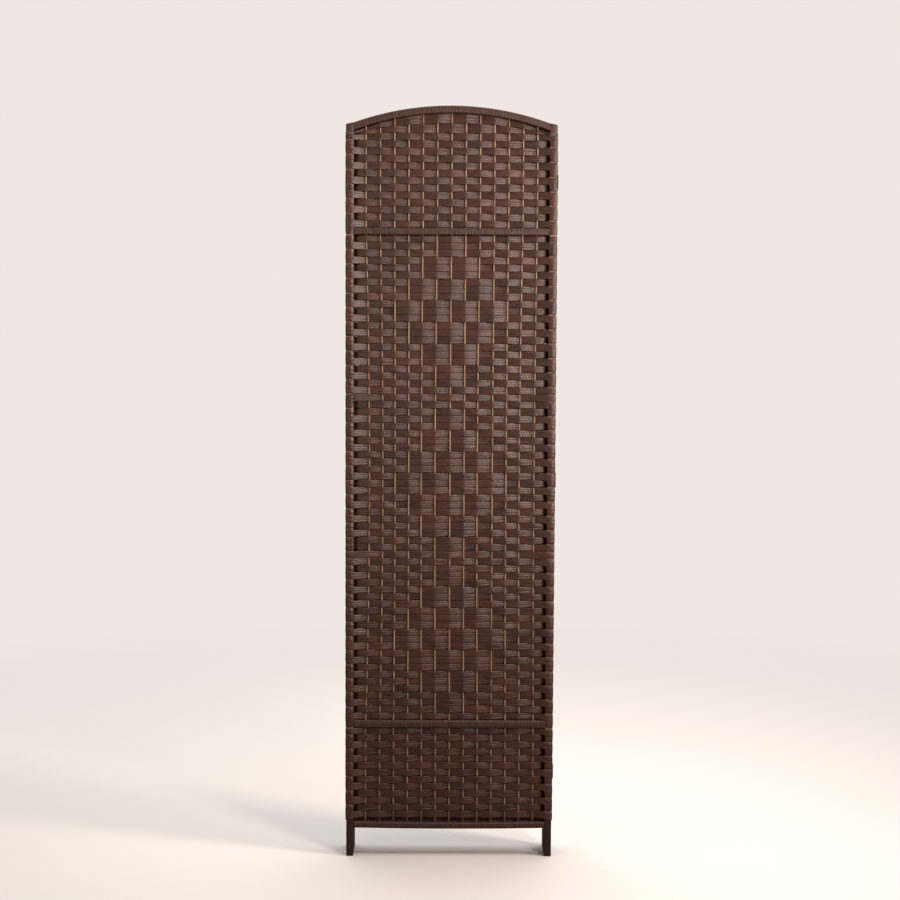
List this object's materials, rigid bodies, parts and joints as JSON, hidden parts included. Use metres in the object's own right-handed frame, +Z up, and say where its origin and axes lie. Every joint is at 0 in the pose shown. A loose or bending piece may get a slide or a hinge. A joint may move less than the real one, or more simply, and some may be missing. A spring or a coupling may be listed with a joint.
{
  "type": "folding screen",
  "caption": "Free-standing folding room divider: arched timber-framed panels of flat woven fibre on upright rods, joined by double-action hinges and shown folded flat.",
  "frame": {"origin": "bottom centre of the folded stack's bounding box, on the floor", "axes": "+Z up, +X along the width of a panel, -Y towards the front of the folded screen"},
  "size_m": [0.5144, 0.0998, 1.829],
  "materials": {
    "weft": "dark mocha twisted and flattened paper fibre, woven, soft sheen, slightly uneven tone",
    "rail_binding": "flat fibre strip wound tightly round the rails, grey brown, fine crosswise lines",
    "stile_wood": "dark walnut stain on softwood, satin",
    "rod_wood": "pale tan round rods, satin",
    "hinge_steel": "dark bronzed steel, satin"
  },
  "bodies": {
    "panel_1": {"panel_1_left_stile": "stile_wood", "panel_1_right_stile": "stile_wood", "panel_1_arch_rail": "rail_binding", "panel_1_upper_rail": "rail_binding", "panel_1_lower_rail": "rail_binding", "panel_1_bottom_rail": "rail_binding", "panel_1_rods": "rod_wood", "panel_1_weave": "weft", "hinge_12_low_front_leaf": "hinge_steel", "hinge_12_middle_front_leaf": "hinge_steel", "hinge_12_top_front_leaf": "hinge_steel"},
    "panel_2": {"panel_2_left_stile": "stile_wood", "panel_2_right_stile": "stile_wood", "panel_2_arch_rail": "rail_binding", "panel_2_upper_rail": "rail_binding", "panel_2_lower_rail": "rail_binding", "panel_2_bottom_rail": "rail_binding", "panel_2_rods": "rod_wood", "panel_2_weave": "weft", "hinge_12_low_back_leaf": "hinge_steel", "hinge_12_middle_back_leaf": "hinge_steel", "hinge_12_top_back_leaf": "hinge_steel", "hinge_23_low_front_leaf": "hinge_steel", "hinge_23_middle_front_leaf": "hinge_steel", "hinge_23_top_front_leaf": "hinge_steel"},
    "panel_3": {"panel_3_left_stile": "stile_wood", "panel_3_right_stile": "stile_wood", "panel_3_arch_rail": "rail_binding", "panel_3_upper_rail": "rail_binding", "panel_3_lower_rail": "rail_binding", "panel_3_bottom_rail": "rail_binding", "panel_3_rods": "rod_wood", "panel_3_weave": "weft", "hinge_23_low_back_leaf": "hinge_steel", "hinge_23_middle_back_leaf": "hinge_steel", "hinge_23_top_back_leaf": "hinge_steel", "hinge_34_low_front_leaf": "hinge_steel", "hinge_34_middle_front_leaf": "hinge_steel", "hinge_34_top_front_leaf": "hinge_steel"},
    "panel_4": {"panel_4_left_stile": "stile_wood", "panel_4_right_stile": "stile_wood", "panel_4_arch_rail": "rail_binding", "panel_4_upper_rail": "rail_binding", "panel_4_lower_rail": "rail_binding", "panel_4_bottom_rail": "rail_binding", "panel_4_rods": "rod_wood", "panel_4_weave": "weft", "hinge_34_low_back_leaf": "hinge_steel", "hinge_34_middle_back_leaf": "hinge_steel", "hinge_34_top_back_leaf": "hinge_steel"},
    "links_12": {"hinge_12_low_link": "hinge_steel", "hinge_12_middle_link": "hinge_steel", "hinge_12_top_link": "hinge_steel"},
    "links_23": {"hinge_23_low_link": "hinge_steel", "hinge_23_middle_link": "hinge_steel", "hinge_23_top_link": "hinge_steel"},
    "links_34": {"hinge_34_low_link": "hinge_steel", "hinge_34_middle_link": "hinge_steel", "hinge_34_top_link": "hinge_steel"}
  },
  "joints": [
    {"name": "fold_12_front_pin", "type": "hinge", "parent": "panel_1", "child": "links_12", "pos_m": [0.2549, -0.0274, 0], "axis": [0, 0, -1], "range_deg": [0, 180]},
    {"name": "fold_12_back_pin", "type": "hinge", "parent": "links_12", "child": "panel_2", "pos_m": [0.2549, -0.0024, 0], "axis": [0, 0, -1], "range_deg": [0, 180]},
    {"name": "fold_23_front_pin", "type": "hinge", "parent": "panel_2", "child": "links_23", "pos_m": [-0.2549, -0.0024, 0], "axis": [0, 0, 1], "range_deg": [0, 180]},
    {"name": "fold_23_back_pin", "type": "hinge", "parent": "links_23", "child": "panel_3", "pos_m": [-0.2549, 0.0226, 0], "axis": [0, 0, 1], "range_deg": [0, 180]},
    {"name": "fold_34_front_pin", "type": "hinge", "parent": "panel_3", "child": "links_34", "pos_m": [0.2549, 0.0226, 0], "axis": [0, 0, -1], "range_deg": [0, 180]},
    {"name": "fold_34_back_pin", "type": "hinge", "parent": "links_34", "child": "panel_4", "pos_m": [0.2549, 0.0476, 0], "axis": [0, 0, -1], "range_deg": [0, 180]}
  ]
}
